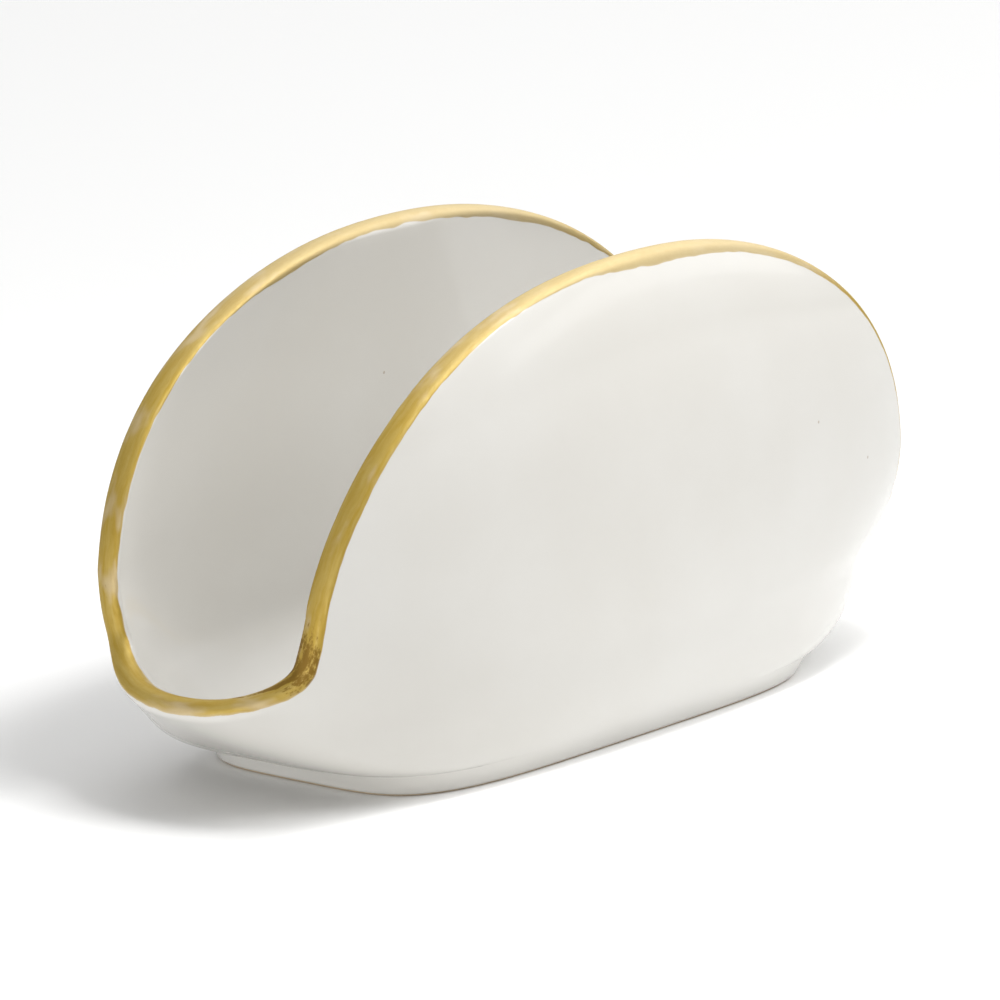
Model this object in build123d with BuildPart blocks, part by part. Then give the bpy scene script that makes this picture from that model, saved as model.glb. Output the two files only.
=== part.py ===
from build123d import *
import math
import os

# A toast rack: one pillow-shaped ceramic shell, open along its top and at both ends, on a low
# oval foot, with a gilded lip. Millimetres, +Z up, the length along X.
# The origin is the centre of the foot's contact face, on the table.
# Shell and lip are the same in all four quarters, so one quarter is made and mirrored.

# The lip in side view: a superellipse over the crown, flaring out at both ends
rim_height = 70.8
rim_half_length = 68.9  # at flare_height
rim_roundness = 2.13
flare_height = 23.4
flare_rate = 0.166  # widening, per mm of drop
flare_drop = 12.0

# The pillow, of which the lip's side view is a slice; half sizes are over the outer face
wall = 3.9
belly_half_length = 88.5
belly_height = 31.0
belly_roundness = 1.5
crown_height = 74.8  # where the whole pillow would close lengthwise
crown_roundness = 2.61
side_half_width = 27.9
side_height = 17.5
top_half_width = 23.6  # at rim_height
table_half_width = 22.8  # the foot's sides carry the walls' curve on down to the table
tuck_power = 1.6  # how suddenly the walls draw in below side_height
lean_power = 3.16  # how suddenly they lean in above it
trough_radius = 9.0  # where the trough's floor turns up into the walls

foot_height = 3.4
foot_half_length = 51.0
foot_draft = 1.8  # how far the foot's ends draw in down to the table
foot_ring_width = 5.0
foot_bevel = 0.5  # around the dry contact face

gilt_depth = 2.0  # how far the gold reaches down the wall from the lip
lip_radius = 1.5

# Superellipse exponents of the level outlines: at the foot, at the lips and up the walls
foot_squareness = 4.5
lip_squareness = 2.28
wall_squareness = 2.66
lip_level = 15.5
wall_level = 54.5

# How finely curves are followed
plan_points = 12
foot_sections = 3
pillow_sections = 16
crown_points = 24
flare_points = 6
overrun = 2  # points beyond each end of a quarter, trimmed off again


def quarter_curve(share, roundness):
    """Superellipse quarter: 1 at share 0, falling to 0 at share 1."""
    return max(0.0, 1 - share**roundness) ** (1 / roundness)


def half_length(height, inset):
    """Half length of the pillow at a height, with its surface moved in by inset."""
    widest = belly_half_length - inset
    if height < belly_height:
        low = foot_height + inset
        drop = (belly_height - height) / (belly_height - low)
        spread = widest - foot_half_length
        return foot_half_length + spread * quarter_curve(drop, belly_roundness)
    rise = (height - belly_height) / (crown_height - belly_height)
    return widest * quarter_curve(rise, crown_roundness)


def half_width(height, inset):
    """Half width of the pillow at a height, with its surface moved in by inset."""
    if height < side_height:
        drop = (side_height - height) / side_height
        pull = (side_half_width - table_half_width) * drop**tuck_power
    else:
        rise = (height - side_height) / (rim_height - side_height)
        pull = (side_half_width - top_half_width) * rise**lean_power
    above_floor = height - foot_height - inset
    if inset and above_floor < trough_radius:
        pull += trough_radius * (1 - quarter_curve(1 - above_floor / trough_radius, 2))
    return side_half_width - inset - pull


def squareness(height):
    """Superellipse exponent of the level outline at a height."""
    foot_share = max(0.0, (lip_level - height) / (lip_level - foot_height))
    wall_share = min(1.0, max(0.0, (height - lip_level) / (wall_level - lip_level)))
    towards_foot = (foot_squareness - lip_squareness) * foot_share**2
    return lip_squareness + towards_foot + (wall_squareness - lip_squareness) * wall_share


def plan_arc(length, width, power, first, last):
    """Points of a superellipse of the given half length and half width."""
    points = []
    for step in range(first, last + 1):
        turn = math.pi / 2 * step / plan_points
        along, across = math.cos(turn), math.sin(turn)
        reach = (abs(along) ** power + abs(across) ** power) ** (-1 / power)
        points.append((length * reach * along, width * reach * across))
    return points


def pillow_quarter(inset):
    """A quarter of the solid pillow, and a little over, with its surface moved in by inset."""
    low = foot_height + inset
    high = (rim_height + crown_height) / 2
    with BuildPart() as pillow:
        for section in range(pillow_sections + 1):
            # closest together where the pillow turns under
            height = low + (high - low) * (section / pillow_sections) ** 2
            length, width = half_length(height, inset), half_width(height, inset)
            outline = plan_arc(length, width, squareness(height), -overrun, plan_points + overrun)
            corner = (outline[-1][0], outline[0][1])
            with BuildSketch(Plane.XY.offset(height)):
                with BuildLine():
                    Spline(*outline)
                    Polyline(outline[-1], corner, outline[0])
                make_face()
        loft()
    return pillow.part


def lip_side_view(inset):
    """The lip in side view, from the crown out to one end's flare, moved in by inset."""
    points = []
    for step in range(-overrun, crown_points + 1):
        turn = math.pi / 2 * step / crown_points
        rise = math.cos(turn) ** (2 / rim_roundness)
        reach = math.copysign(abs(math.sin(turn)) ** (2 / rim_roundness), turn)
        points.append((rim_half_length * reach, flare_height + (rim_height - flare_height) * rise))
    for step in range(1, flare_points + 1):
        drop = flare_drop * step / flare_points
        points.append((rim_half_length + flare_rate * drop**2, flare_height - drop))
    moved = []
    for before, point, after in zip(points, points[1:], points[2:]):
        run, fall = after[0] - before[0], before[1] - after[1]
        share = inset / math.hypot(run, fall)
        moved.append((point[0] - share * fall, point[1] - share * run))
    return moved


def below_lip(inset):
    """One quarter of all that lies below the lip's side view, moved in by inset."""
    view = lip_side_view(inset)
    with BuildPart() as quarter:
        with BuildSketch(Plane.XZ):
            with BuildLine():
                Spline(*view)
                Polyline(view[-1], (view[-1][0], 0), (view[0][0], 0), view[0])
            make_face()
        extrude(amount=-2 * side_half_width)
        split(bisect_by=Plane.YZ, keep=Keep.TOP)
    return quarter.part


def walls_quarter():
    """A quarter of the walls and the trough's floor, up to the rounded lip."""
    with BuildPart() as walls:
        add(pillow_quarter(0))
        add(below_lip(0), mode=Mode.INTERSECT)
        add(pillow_quarter(wall), mode=Mode.SUBTRACT)
        lip_edges = walls.edges().sort_by(Edge.length)[-2:]
        fillet(lip_edges, min(lip_radius, 0.4 * wall))
    return walls.part


os.makedirs("parts", exist_ok=True)
walls = walls_quarter()
below_gilt = below_lip(gilt_depth)

with BuildPart() as shell:
    add(walls)
    add(below_gilt, mode=Mode.INTERSECT)
    mirror(about=Plane.XZ)
    mirror(about=Plane.YZ)
shell.part.label = "shell"
export_step(shell.part, "parts/shell.step")

# The gold is a film on the glaze; here it is the whole bead of the wall that it covers.
with BuildPart() as gilt_rim:
    add(walls)
    add(below_gilt, mode=Mode.SUBTRACT)
    mirror(about=Plane.XZ)
    mirror(about=Plane.YZ)
gilt_rim.part.label = "gilt_rim"
export_step(gilt_rim.part, "parts/gilt_rim.step")

with BuildPart() as foot_ring:
    for section in range(foot_sections + 1):
        rise = section / foot_sections
        length = foot_half_length - foot_draft * (1 - rise)
        width = half_width(foot_height * rise, 0)
        outline = plan_arc(length, width, foot_squareness, 0, 4 * plan_points - 1)
        with BuildSketch(Plane.XY.offset(foot_height * rise)):
            with BuildLine():
                Spline(*outline, periodic=True)
            make_face()
    loft()
    length = foot_half_length - foot_draft - foot_ring_width
    width = table_half_width - foot_ring_width
    hollow = plan_arc(length, width, foot_squareness, 0, 4 * plan_points - 1)
    with BuildSketch():
        with BuildLine():
            Spline(*hollow, periodic=True)
        make_face()
    extrude(amount=foot_height, mode=Mode.SUBTRACT)
    contact_edges = foot_ring.faces().sort_by(Axis.Z)[0].edges()
    chamfer(contact_edges, foot_bevel)
foot_ring.part.label = "foot_ring"
export_step(foot_ring.part, "parts/foot_ring.step")
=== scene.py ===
import math

import bpy
import numpy as np
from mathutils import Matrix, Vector


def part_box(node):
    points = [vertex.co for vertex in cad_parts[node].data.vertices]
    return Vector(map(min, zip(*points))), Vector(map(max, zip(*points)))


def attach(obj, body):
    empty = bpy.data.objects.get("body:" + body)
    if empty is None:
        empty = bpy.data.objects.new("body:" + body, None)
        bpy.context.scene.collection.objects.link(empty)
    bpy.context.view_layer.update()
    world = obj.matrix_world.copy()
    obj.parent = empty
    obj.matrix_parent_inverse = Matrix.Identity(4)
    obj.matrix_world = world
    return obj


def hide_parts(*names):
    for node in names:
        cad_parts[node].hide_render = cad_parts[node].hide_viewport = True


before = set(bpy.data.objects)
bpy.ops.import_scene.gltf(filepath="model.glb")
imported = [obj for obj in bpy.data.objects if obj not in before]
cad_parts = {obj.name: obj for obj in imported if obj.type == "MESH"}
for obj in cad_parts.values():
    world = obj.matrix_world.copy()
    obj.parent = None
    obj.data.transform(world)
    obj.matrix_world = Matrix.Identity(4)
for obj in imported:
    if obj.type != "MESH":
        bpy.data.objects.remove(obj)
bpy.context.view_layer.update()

# The toast rack's looks: the glazed shell, the brushed gold lustre on its lip and the foot.
# Lengths below are in millimetres, as in the CAD source; meshes are written in metres.
MM = 0.001

# The gold lustre: a film over the lip, a little proud of the glaze
lustre_depth = 0.05
lustre_tuck = 0.015  # how far its two edges sink into the glaze
lustre_root = 0.12  # how far its hidden underside lies below the glaze
lustre_columns = 320  # per quarter
lustre_rows = 19
lustre_outside = 2.7  # reach from the lip's middle, down the outside and down the inside
lustre_inside = 2.5
trough_reach = 3.8  # at the trough's two ends it reaches this much further inside
trough_narrowing = 0.5  # and this much less outside
trough_end = 13.0  # length of lip over which both fade out
path_rows_outside = 10  # rows of the wall that are within its reach, outside
path_rows_inside = 18  # and inside

# The lip in side view
rim_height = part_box("gilt_rim")[1].z / MM - lustre_depth
rim_half_length = 68.9
rim_roundness = 2.13
flare_height = 23.4
flare_rate = 0.166
flare_drop = 12.0

# The pillow, of which the lip's side view is a slice
wall = 3.9
belly_half_length = 88.5
belly_height = 31.0
belly_roundness = 1.5
crown_height = 74.8
crown_roundness = 2.61
side_half_width = 27.9
side_height = 17.5
top_half_width = 23.6
table_half_width = 22.8
tuck_power = 1.6
lean_power = 3.16
trough_radius = 9.0

foot_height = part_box("foot_ring")[1].z / MM
foot_half_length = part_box("foot_ring")[1].x / MM
foot_draft = 1.8
foot_ring_width = 5.0

# Superellipse exponents of the level outlines
foot_squareness = 4.5
lip_squareness = 2.28
wall_squareness = 2.66
lip_level = 15.5
wall_level = 54.5

lip_radius = 1.7

# Glaze albedo, where it lies thin and thick
glaze_dark = (0.545, 0.530, 0.494)
glaze_light = (0.577, 0.566, 0.536)
speck_colour = (0.30, 0.24, 0.17)
bare_clay = (0.42, 0.34, 0.24)

# The gold: from thick to thin, where it pooled, a painted sheen along the top, and at its edges
gold_deep = (0.365, 0.242, 0.030)
gold_light = (0.42, 0.305, 0.075)
gold_thin = (0.49, 0.39, 0.23)
gold_pooled = (0.19, 0.105, 0.006)
# painted sheen: lighter gold for the top of the lip, where the lamps light it
gold_painted_sheen = (0.48, 0.395, 0.24)
gold_rim = (0.56, 0.47, 0.32)

# Mesh density
columns_per_quarter = 160
wall_rows = 50
arc_rows = 5
fan_rings = 11  # rings that close the shell underneath and on the trough's floor
foot_columns = 720
fine_steps = 6000  # steps in which the lip's length is measured
fine_rows = 260  # points on each wall column before its rows are spaced
lip_rows = 6  # of those points, how far below the lip the wall's direction is taken

# The bare clay reaches this high on the foot
bare_height = 0.25


def quarter_curve(share, roundness):
    return np.clip(1 - np.clip(share, 0, None) ** roundness, 0, None) ** (1 / roundness)


def half_length(height, inset):
    widest = belly_half_length - inset
    low = foot_height + inset
    drop = (belly_height - height) / (belly_height - low)
    rise = (height - belly_height) / (crown_height - belly_height)
    below = foot_half_length + (widest - foot_half_length) * quarter_curve(drop, belly_roundness)
    above = widest * quarter_curve(rise, crown_roundness)
    return np.where(height < belly_height, below, above)


def half_width(height, inset):
    drop = np.clip((side_height - height) / side_height, 0, None)
    rise = np.clip((height - side_height) / (rim_height - side_height), 0, None)
    pull = (side_half_width - table_half_width) * drop**tuck_power
    pull = pull + (side_half_width - top_half_width) * rise**lean_power
    if inset:
        share = np.clip(1 - (height - foot_height - inset) / trough_radius, 0, 1)
        pull = pull + trough_radius * (1 - quarter_curve(share, 2))
    return side_half_width - inset - pull


def squareness(height):
    foot_share = np.clip((lip_level - height) / (lip_level - foot_height), 0, None)
    wall_share = np.clip((height - lip_level) / (wall_level - lip_level), 0, 1)
    towards_foot = (foot_squareness - lip_squareness) * foot_share**2
    return lip_squareness + towards_foot + (wall_squareness - lip_squareness) * wall_share


def pillow_point(slant, height, inset):
    """A point of the first quarter: slant is the tangent of its level-outline angle."""
    power = squareness(height)
    along = 1 / np.sqrt(1 + slant**2)
    across = slant * along
    reach = (along**power + across**power) ** (-1 / power)
    x = half_length(height, inset) * reach * along
    y = half_width(height, inset) * reach * across
    return np.stack([x, y, height + 0 * slant], -1)


def side_view_points(count):
    """The lip's side view from one flare up to the crown, as lengths and heights."""
    drop = flare_drop * np.linspace(1, 0, count, endpoint=False)
    turn = np.linspace(0, math.pi / 2, 3 * count)
    length = np.r_[rim_half_length + flare_rate * drop**2,
                   rim_half_length * np.cos(turn) ** (2 / rim_roundness)]
    height = np.r_[flare_height - drop,
                   flare_height + (rim_height - flare_height) * np.sin(turn) ** (2 / rim_roundness)]
    return length, height


view_length, view_height = side_view_points(400)
view_run = np.r_[0, np.cumsum(np.hypot(np.diff(view_length), np.diff(view_height)))]


def lip_tip(inset):
    """Run along the side view at which the lip crosses the end of the pillow."""
    room = half_length(view_height, inset) - view_length
    after = np.argmax(room > 0)
    share = -room[after - 1] / (room[after] - room[after - 1])
    return view_run[after - 1] + share * (view_run[after] - view_run[after - 1])


def lip_line(run, inset):
    """Points of the sharp lip at runs along the side view, with each one's slant."""
    height = np.interp(run, view_run, view_height)
    length = np.interp(run, view_run, view_length)
    power = squareness(height)
    share = np.clip(length / half_length(height, inset), 0, 1)
    across = np.clip(1 - share**power, 0, None) ** (1 / power)
    slant = across / np.maximum(share, 1e-6)
    return slant, np.stack([length, half_width(height, inset) * across, height], -1)


def even_runs(count):
    """Runs of the outer lip from its tip to the crown, evenly spaced along the lip itself."""
    tip = lip_tip(0)
    fine = tip + (view_run[-1] - tip) * np.linspace(0, 1, fine_steps) ** 2
    points = lip_line(fine, 0)[1]
    gone = np.r_[0, np.cumsum(np.linalg.norm(np.diff(points, axis=0), axis=1))]
    return np.interp(np.linspace(0, gone[-1], count), gone, fine)


def gone_along(points):
    """Distance gone along each row of points, from its first point."""
    steps = np.linalg.norm(np.diff(points, axis=-2), axis=-1)
    return np.concatenate([np.zeros_like(steps[..., :1]), np.cumsum(steps, -1)], -1)


def resample(points, places):
    """Points at the given distances along one polyline."""
    gone = gone_along(points)
    return np.stack([np.interp(places, gone, points[:, axis]) for axis in range(3)], -1)


def wall_column(slant, top, inset):
    """The wall's surface from its lowest level up to the sharp lip, at one slant."""
    low = foot_height + inset
    height = low + (top - low) * np.linspace(0, 1, fine_rows) ** 2
    return pillow_point(np.full_like(height, slant), height, inset)


def corner_reach(corner, outer_side, inner_side):
    """Distance from a sharp corner at which a round of lip_radius meets its two sides, and
    the length of the round's handles."""
    angle = math.acos(float(np.clip(outer_side @ inner_side, -1, 1)))
    return lip_radius / math.tan(angle / 2), 4 / 3 * math.tan((math.pi - angle) / 4) * lip_radius


def unit(step):
    return step / np.linalg.norm(step)


def round_corner(before, corner, after, handle):
    """A circular round between two points on a corner's sides, as one cubic curve."""
    share = np.linspace(0, 1, 2 * arc_rows + 1)[:, None]
    leaving = before + unit(corner - before) * handle
    arriving = after + unit(corner - after) * handle
    return ((1 - share)**3 * before + 3 * (1 - share)**2 * share * leaving
            + 3 * (1 - share) * share**2 * arriving + share**3 * after)


def section(slant, outer_top, inner_slant, inner_top):
    """One section of the wall: rows up the outside, over the lip and down the inside."""
    outer = wall_column(slant, outer_top[2], 0)
    inner = wall_column(inner_slant, inner_top[2], wall)
    down_outer = unit(outer[-lip_rows] - outer_top)
    down_inner = unit(inner[-lip_rows] - inner_top)
    across = unit(inner_top - outer_top)
    outer_reach, outer_handle = corner_reach(outer_top, down_outer, across)
    inner_reach, inner_handle = corner_reach(inner_top, down_inner, -across)
    fit = min(1.0, 0.98 * np.linalg.norm(inner_top - outer_top) / (outer_reach + inner_reach))
    outer_reach, inner_reach = fit * outer_reach, fit * inner_reach
    outer_end, inner_end = gone_along(outer)[-1], gone_along(inner)[-1]
    outer = resample(outer, np.linspace(0, outer_end - outer_reach, wall_rows + 1))
    inner = resample(inner, np.linspace(inner_end - inner_reach, 0, wall_rows + 1))
    outer_round = round_corner(outer[-1], outer_top, outer_top + across * outer_reach,
                               fit * outer_handle)
    inner_round = round_corner(inner_top - across * inner_reach, inner_top, inner[0],
                               fit * inner_handle)
    return outer, np.concatenate([outer_round, inner_round]), inner


def quarter_sections(columns):
    """Sections of the wall, evenly spaced from one lip's tip to the crown.

    The inner lip starts later along the side view than the outer one, and catches up."""
    runs = even_runs(columns + 1)
    tip, inner_tip = lip_tip(0), lip_tip(wall)
    late = (inner_tip - tip) * np.exp(-(runs - tip) / (2.5 * (inner_tip - tip)))
    outer_slant, outer_lip = lip_line(runs, 0)
    inner_slant, inner_lip = lip_line(runs + late, wall)
    found = [section(*ends) for ends in zip(outer_slant, outer_lip, inner_slant, inner_lip)]
    return [np.array(rows) for rows in zip(*found)]


def all_round(quarter):
    """Repeats columns of the first quarter round all four, each column once."""
    back = quarter[::-1]
    turns = [quarter, back * (-1, 1, 1), quarter * (-1, -1, 1), back * (1, -1, 1)]
    return np.concatenate([turn[:-1] for turn in turns])


def add_mesh(name, vertices, faces, material):
    mesh = bpy.data.meshes.new(name)
    mesh.from_pydata([tuple(v) for v in vertices * MM], [], faces)
    mesh.validate()
    mesh.shade_smooth()
    mesh.set_sharp_from_angle(angle=math.radians(38))
    mesh.materials.append(material)
    piece = bpy.data.objects.new(name, mesh)
    bpy.context.scene.collection.objects.link(piece)
    return piece


def strip_faces(columns, rows, close_rows=False):
    """Quads of a grid whose columns go round in a ring."""
    faces = []
    last = rows if close_rows else rows - 1
    for column in range(columns):
        here, there = column * rows, (column + 1) % columns * rows
        for row in range(last):
            up = (row + 1) % rows
            faces.append((here + row, there + row, there + up, here + up))
    return faces


def capped(grid, centre_first, centre_last):
    """Vertices and faces of a ring of columns whose two ends close in fans of rings."""
    columns, rows, _ = grid.shape
    vertices = np.concatenate([grid.reshape(-1, 3), [centre_first, centre_last]])
    first, last = len(vertices) - 2, len(vertices) - 1
    faces = strip_faces(columns, rows)
    for column in range(columns):
        here, there = column * rows, (column + 1) % columns * rows
        faces.append((here, first, there))
        faces.append((here + rows - 1, there + rows - 1, last))
    return vertices, faces


def shell_piece(material):
    outer, lip, inner = (all_round(rows) for rows in quarter_sections(columns_per_quarter))
    middle = outer[:, :1] * (0, 0, 1)
    floor_middle = inner[:, -1:] * (0, 0, 1)
    shares = np.linspace(0, 1, fan_rings + 2)[1:-1, None]
    under = middle + (outer[:, :1] - middle) * shares
    floor = inner[:, -1:] + (floor_middle - inner[:, -1:]) * shares
    grid = np.concatenate([under, outer, lip[:, 1:-1], inner, floor], 1)
    vertices, faces = capped(grid, middle[0, 0], floor_middle[0, 0])
    return add_mesh("glazed_shell", vertices, faces, material)


def foot_rows():
    """Half length, half width and height round the foot ring's section, from its top."""
    base_length = foot_half_length - foot_draft
    rows = []
    for height in np.linspace(foot_height, 0.42, 14):
        rise = height / foot_height
        rows.append((base_length + foot_draft * rise, float(half_width(height, 0)), height))
    # rounded towards the contact face, outside and then inside
    for out, height in ((-0.02, 0.3), (-0.1, 0.14), (-0.24, 0.04), (-0.5, 0.0)):
        rows.append((base_length + out, table_half_width + out, height))
    for out, height in ((0.5, 0.0), (0.2, 0.06), (0.04, 0.25), (0, foot_height)):
        inward = out - foot_ring_width
        rows.append((base_length + inward, table_half_width + inward, height))
    return rows


def foot_piece(glazed, bare):
    turn = np.linspace(0, math.tau, foot_columns, endpoint=False)
    along, across = np.cos(turn), np.sin(turn)
    power = foot_squareness
    reach = (abs(along)**power + abs(across)**power) ** (-1 / power)
    grid = np.stack([np.stack([length * reach * along, width * reach * across,
                               np.full_like(along, height)], -1)
                     for length, width, height in foot_rows()], 1)
    faces = strip_faces(*grid.shape[:2], close_rows=True)
    piece = add_mesh("glazed_foot", grid.reshape(-1, 3), faces, glazed)
    piece.data.materials.append(bare)
    for face in piece.data.polygons:
        face.material_index = int(face.center.z < bare_height * MM)
    return piece


def wander(turn, seed, size, slowest, quickest):
    """An irregular value round the loop, from seeded waves of slowest to quickest cycles."""
    random = np.random.default_rng(seed)
    cycles = np.unique(np.geomspace(slowest, quickest, 26).round())
    value = np.zeros_like(turn)
    for count in cycles:
        value += (slowest / count) ** 0.3 * np.cos(count * turn + random.uniform(0, math.tau))
    return size * value / math.sqrt(len(cycles) / 2)


def near(distance, reach):
    return np.exp(-(distance / reach) ** 2)


def lustre_piece(material):
    outer, lip, inner = (all_round(rows) for rows in quarter_sections(lustre_columns))
    path = np.concatenate([outer[:, -path_rows_outside:], lip[:, 1:-1],
                           inner[:, :path_rows_inside]], 1)
    gone = gone_along(path)
    above = path_rows_outside + (lip.shape[1] - 2) // 2
    centre = (gone[:, above - 1] + gone[:, above]) / 2
    ring = (path[:, above - 1] + path[:, above]) / 2
    steps = np.linalg.norm(np.roll(ring, -1, 0) - ring, axis=1)
    loop = np.r_[0, np.cumsum(steps)[:-1]]
    total = steps.sum()
    turn = math.tau * loop / total
    # signed distances along the lip from its ends at -X and at +X; the first is positive on
    # the wall at -Y, the second on the wall at +Y
    from_end = loop - total / 2
    from_other_end = np.where(loop < total / 2, loop, loop - total)
    bottom = near(from_end, trough_end) + near(from_other_end, trough_end)
    # the brush strayed down one wall's outside and, in two places, down the other's inside,
    # and drew in at one corner
    strayed_out = 1.9 * near(from_end - 150, 28)
    strayed_in = (1.6 * near(from_end + 88, 12) + 2.4 * near(from_end + 146, 22)
                  - 1.5 * near(from_end + 14.5, 5))
    outside = lustre_outside - trough_narrowing * bottom + strayed_out
    inside = lustre_inside + trough_reach * bottom + strayed_in
    outside = outside + wander(turn, 11, 0.20, 5, 190)
    inside = inside + wander(turn, 12, 0.30, 5, 150)

    share = 0.5 - 0.5 * np.cos(np.linspace(0, math.pi, lustre_rows))
    places = (centre - outside)[:, None] + (outside + inside)[:, None] * share
    film = np.stack([resample(column, row) for column, row in zip(path, places)])
    normal = np.cross(np.gradient(film, axis=1), np.roll(film, -1, 0) - np.roll(film, 1, 0))
    normal /= np.linalg.norm(normal, axis=-1)[..., None]
    normal *= np.sign(normal[len(film) // 4, lustre_rows // 2, 2])
    edge = abs(2 * share - 1) ** 8
    upper = film + normal * (lustre_depth * (1 - edge) - lustre_tuck * edge)[:, None]
    under = (film - normal * lustre_root)[:, ::-6]
    grid = np.concatenate([upper, under], 1)
    faces = strip_faces(*grid.shape[:2], close_rows=True)
    piece = add_mesh("gold_lustre", grid.reshape(-1, 3), faces, material)

    shares = np.concatenate([share, share[::-6]])[None] + 0 * grid[..., 0]
    radius = total / math.tau
    width = (outside + inside)[:, None] * shares
    brush = np.stack([radius * np.cos(turn)[:, None] + 0 * width,
                      radius * np.sin(turn)[:, None] + 0 * width, width], -1)
    # the gold is dark where the brush pooled: at four corners and along the trough's lip
    corner = (near(from_end - 21, 9) + 0.45 * near(from_end + 24, 8)
              + 0.55 * near(from_other_end - 22, 9) + 0.5 * near(from_other_end + 20, 7))[:, None]
    inner_edge = near(from_end, 21)[:, None] + near(from_other_end, 21)[:, None]
    outer_edge = near(from_end + 13, 9)[:, None] + near(from_other_end - 12, 9)[:, None]
    pool = (corner + 1.1 * inner_edge * near(shares - 0.45, 0.05)
            + 0.7 * outer_edge * near(shares - 0.04, 0.05))
    # painted sheen: the gold is coloured lighter along the top and towards +X, the key light's
    # side, where light falls on it; it is also lighter at its two edges
    painted_sheen = np.clip((grid[..., 2] - 55) / 13, 0, 1) * np.clip(0.8 + grid[..., 0] / 120, 0, 1)
    rim = np.clip((abs(2 * shares - 1) - 0.86) / 0.14, 0, 1)
    for name, values in (("pool", pool), ("painted_sheen", painted_sheen), ("rim", rim)):
        attribute = piece.data.attributes.new(name, "FLOAT", "POINT")
        attribute.data.foreach_set("value", np.ascontiguousarray(values.ravel(), dtype=np.float32))
    attribute = piece.data.attributes.new("brush", "FLOAT_VECTOR", "POINT")
    attribute.data.foreach_set("vector", np.ascontiguousarray(brush.ravel(), dtype=np.float32))
    return piece


class Shader:
    """A material's node tree, with short calls to add nodes and link them."""

    def __init__(self, name):
        self.material = bpy.data.materials.new(name)
        self.material.use_nodes = True
        self.tree = self.material.node_tree
        self.surface = self.tree.nodes["Principled BSDF"]

    def add(self, kind, **settings):
        node = self.tree.nodes.new("ShaderNode" + kind)
        for key, value in settings.items():
            if hasattr(node, key):
                setattr(node, key, value)
            else:
                node.inputs[key.replace("_", " ")].default_value = value
        return node

    def link(self, source, target):
        self.tree.links.new(source, target)

    def mix(self, share, first, second):
        """A colour between two, each a socket or a plain colour."""
        node = self.add("Mix", data_type="RGBA")
        sockets = node.inputs["Factor"], node.inputs[6], node.inputs[7]
        for socket, value in zip(sockets, (share, first, second)):
            if hasattr(value, "is_linked"):
                self.link(value, socket)
            elif isinstance(value, tuple):
                socket.default_value = (*value, 1)
            else:
                socket.default_value = value
        return node.outputs[2]

    def math(self, operation, *values):
        node = self.add("Math", operation=operation)
        for socket, value in zip(node.inputs, values):
            if hasattr(value, "is_linked"):
                self.link(value, socket)
            else:
                socket.default_value = value
        return node.outputs["Value"]

    def between(self, value, low, high, out_low=0.0, out_high=1.0):
        """A value spread smoothly from one range to another."""
        node = self.add("MapRange", interpolation_type="SMOOTHSTEP")
        self.link(value, node.inputs["Value"])
        for name, number in (("From Min", low), ("From Max", high),
                             ("To Min", out_low), ("To Max", out_high)):
            node.inputs[name].default_value = number
        return node.outputs["Result"]

    def noise(self, place, scale, detail=2.0, roughness=0.5, stretch=None):
        if stretch:
            mapping = self.add("Mapping")
            mapping.inputs["Scale"].default_value = stretch
            self.link(place, mapping.inputs["Vector"])
            place = mapping.outputs["Vector"]
        node = self.add("TexNoise")
        node.inputs["Scale"].default_value = scale
        node.inputs["Detail"].default_value = detail
        node.inputs["Roughness"].default_value = roughness
        self.link(place, node.inputs["Vector"])
        return node.outputs["Fac"]

    def bump(self, height, strength, distance):
        node = self.add("Bump")
        node.inputs["Strength"].default_value = strength
        node.inputs["Distance"].default_value = distance
        self.link(height, node.inputs["Height"])
        self.link(node.outputs["Normal"], self.surface.inputs["Normal"])


def glaze():
    shader = Shader("glaze")
    surface = shader.surface
    place = shader.add("TexCoord").outputs["Object"]
    cloud = shader.noise(place, 24.0, 3.0)
    colour = shader.mix(shader.between(cloud, 0.3, 0.7), glaze_dark, glaze_light)
    specks = shader.add("TexVoronoi")
    specks.inputs["Scale"].default_value = 55.0
    shader.link(place, specks.inputs["Vector"])
    speck = shader.between(specks.outputs["Distance"], 0.010, 0.016, 1.0, 0.0)
    colour = shader.mix(shader.math("MULTIPLY", speck, 0.6), colour, speck_colour)
    shader.link(colour, surface.inputs["Base Color"])
    surface.inputs["Roughness"].default_value = 0.2
    surface.inputs["IOR"].default_value = 1.5
    surface.inputs["Coat Weight"].default_value = 0.4
    surface.inputs["Coat Roughness"].default_value = 0.04
    shader.bump(shader.noise(place, 150.0, 2.0), 0.05, 0.0004)
    return shader.material


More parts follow.
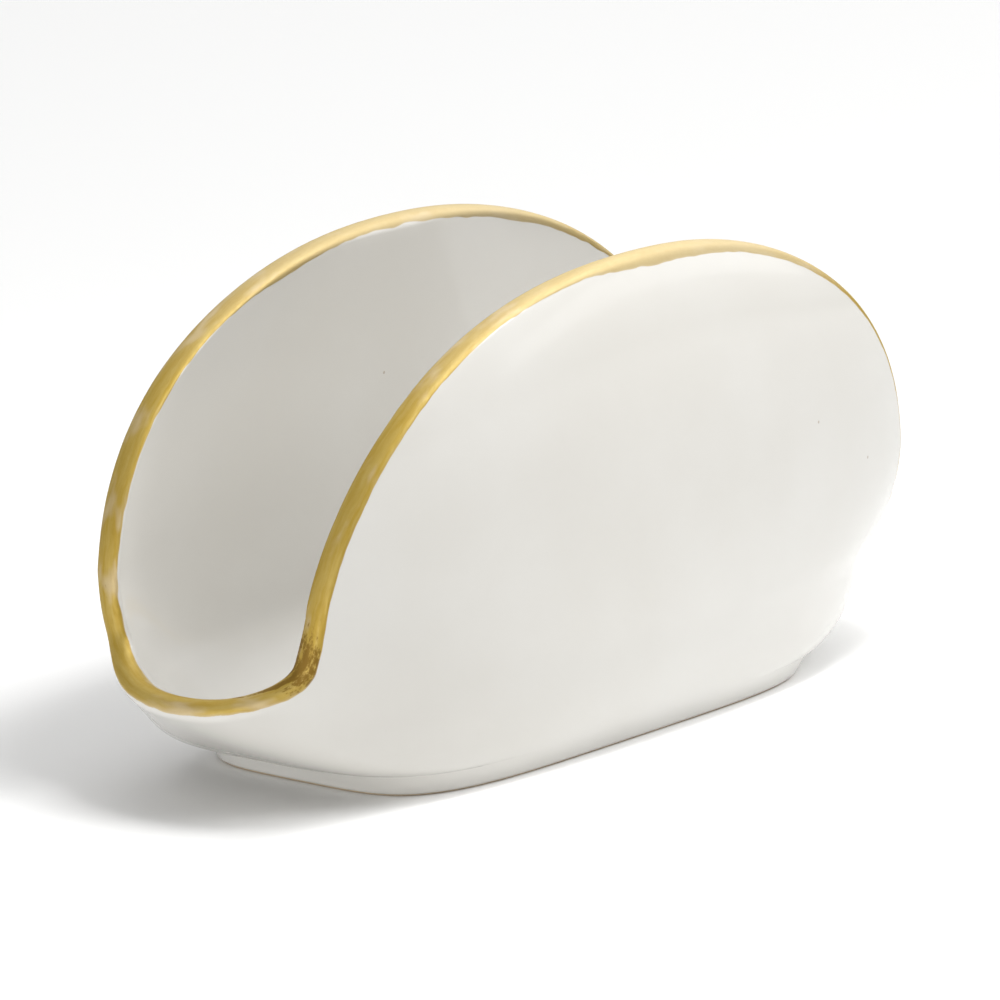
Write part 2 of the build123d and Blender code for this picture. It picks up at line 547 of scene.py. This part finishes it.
def gold():
    shader = Shader("gold_lustre")
    surface = shader.surface
    brush = shader.add("Attribute", attribute_name="brush").outputs["Vector"]
    pool = shader.add("Attribute", attribute_name="pool").outputs["Fac"]
    painted_sheen = shader.add("Attribute", attribute_name="painted_sheen").outputs["Fac"]
    rim = shader.add("Attribute", attribute_name="rim").outputs["Fac"]
    strokes = shader.noise(brush, 1.0, 4.0, 0.6, (0.10, 0.10, 1.1))
    patches = shader.noise(brush, 1.0, 2.0, 0.5, (0.13, 0.13, 0.35))
    grain = shader.noise(brush, 1.0, 5.0, 0.7, (0.8, 0.8, 1.6))
    colour = shader.mix(shader.between(strokes, 0.32, 0.68), gold_deep, gold_light)
    colour = shader.mix(shader.between(patches, 0.52, 0.72, 0.0, 0.75), colour, gold_thin)
    # painted sheen: lighter gold along the top and towards the key light
    colour = shader.mix(shader.math("MULTIPLY", painted_sheen, 0.8), colour, gold_painted_sheen)
    mottled = shader.math("ADD", shader.math("MULTIPLY", strokes, 0.6),
                          shader.math("MULTIPLY", grain, 0.7))
    pooled = shader.math("ADD", shader.math("MULTIPLY", pool, 0.5), mottled)
    wet = shader.math("MINIMUM", shader.between(pooled, 1.02, 1.18),
                      shader.between(pool, 0.15, 0.5))
    colour = shader.mix(wet, colour, gold_pooled)
    colour = shader.mix(shader.math("MULTIPLY", rim, 0.7), colour, gold_rim)
    shader.link(colour, surface.inputs["Base Color"])
    shader.link(shader.between(painted_sheen, 0.0, 1.0, 0.50, 0.25), surface.inputs["Metallic"])
    shader.link(shader.between(grain, 0.3, 0.7, 0.54, 0.70), surface.inputs["Roughness"])
    shader.bump(grain, 0.25, 0.00012)
    return shader.material


def plain(name, colour, roughness):
    shader = Shader(name)
    shader.surface.inputs["Base Color"].default_value = (*colour, 1)
    shader.surface.inputs["Roughness"].default_value = roughness
    return shader.material


glaze_material = glaze()
shell = shell_piece(glaze_material)
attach(shell, "root")
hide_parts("shell")
foot = foot_piece(glaze_material, plain("bare_clay", bare_clay, 0.8))
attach(foot, "root")
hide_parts("foot_ring")
lustre = lustre_piece(gold())
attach(lustre, "root")
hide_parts("gilt_rim")

# The floor, world, lights and camera
floor_mesh = bpy.data.meshes.new("floor")
floor_corners = [(-4, -4, 0), (4, -4, 0), (4, 4, 0), (-4, 4, 0)]
floor_mesh.from_pydata(floor_corners, [], [(0, 1, 2, 3)])
floor_mesh.materials.append(plain("floor", (0.93, 0.93, 0.925), 0.9))
floor = bpy.data.objects.new("floor", floor_mesh)
bpy.context.scene.collection.objects.link(floor)

world = bpy.data.worlds.new("studio")
world.use_nodes = True
world_nodes, world_links = world.node_tree.nodes, world.node_tree.links
# the room is brighter on the side of the key light
direction = world_nodes.new("ShaderNodeTexCoord")
split = world_nodes.new("ShaderNodeSeparateXYZ")
side = world_nodes.new("ShaderNodeMapRange")
world_links.new(direction.outputs["Generated"], split.inputs["Vector"])
world_links.new(split.outputs["X"], side.inputs["Value"])
for name, number in (("From Min", -1.0), ("From Max", 1.0),
                     ("To Min", 0.15), ("To Max", 0.66)):
    side.inputs[name].default_value = number
world_links.new(side.outputs["Result"], world_nodes["Background"].inputs["Strength"])
world_nodes["Background"].inputs["Color"].default_value = (1, 1, 1, 1)
bpy.context.scene.world = world


def soft_box(name, place, aim, size, power):
    """A rectangular lamp at one place, aimed at another, in metres and watts."""
    lamp = bpy.data.lights.new(name, "AREA")
    lamp.shape = "RECTANGLE"
    lamp.size, lamp.size_y = size
    lamp.energy = power
    holder = bpy.data.objects.new(name, lamp)
    holder.location = place
    holder.rotation_euler = (Vector(aim) - Vector(place)).to_track_quat("-Z", "Y").to_euler()
    bpy.context.scene.collection.objects.link(holder)


soft_box("key", (0.80, -1.0, 1.15), (0, 0, 0.04), (1.3, 1.0), 16.0)
soft_box("top", (0.1, -0.1, 1.3), (0, 0, 0.04), (1.2, 0.8), 2.5)
soft_box("strip", (0.97, -0.74, 0.165), (0, 0, 0.06), (0.62, 0.08), 0.17)
soft_box("low", (-0.85, 0.0, 0.05), (0, 0, 0), (0.5, 0.09), 3.7)
soft_box("over", (0.0, -0.055, 0.20), (0.0, 0.02, 0.05), (0.15, 0.03), 0.27)
soft_box("backdrop", (0.7, 0.55, 1.1), (0.7, 0.55, 0), (1.4, 1.4), 5.0)

# The camera stands off one end's corner, a little above the rack
camera_azimuth = math.radians(52.4)
camera_elevation = math.radians(12.6)
camera_distance = 1.164
aim_height = 0.0388
camera_lens = 291.987

forward = Vector((math.sin(camera_azimuth) * math.cos(camera_elevation),
                  math.cos(camera_azimuth) * math.cos(camera_elevation),
                  -math.sin(camera_elevation)))
camera_data = bpy.data.cameras.new("camera")
camera_data.sensor_width = 36
camera_data.lens = camera_lens
camera_data.shift_x = -0.0131
camera_data.shift_y = -0.0495
camera = bpy.data.objects.new("camera", camera_data)
camera.location = Vector((0, 0, aim_height)) - forward * camera_distance
camera.rotation_euler = forward.to_track_quat("-Z", "Y").to_euler()
bpy.context.scene.collection.objects.link(camera)
bpy.context.scene.camera = camera
bpy.context.scene.view_settings.view_transform = "Standard"
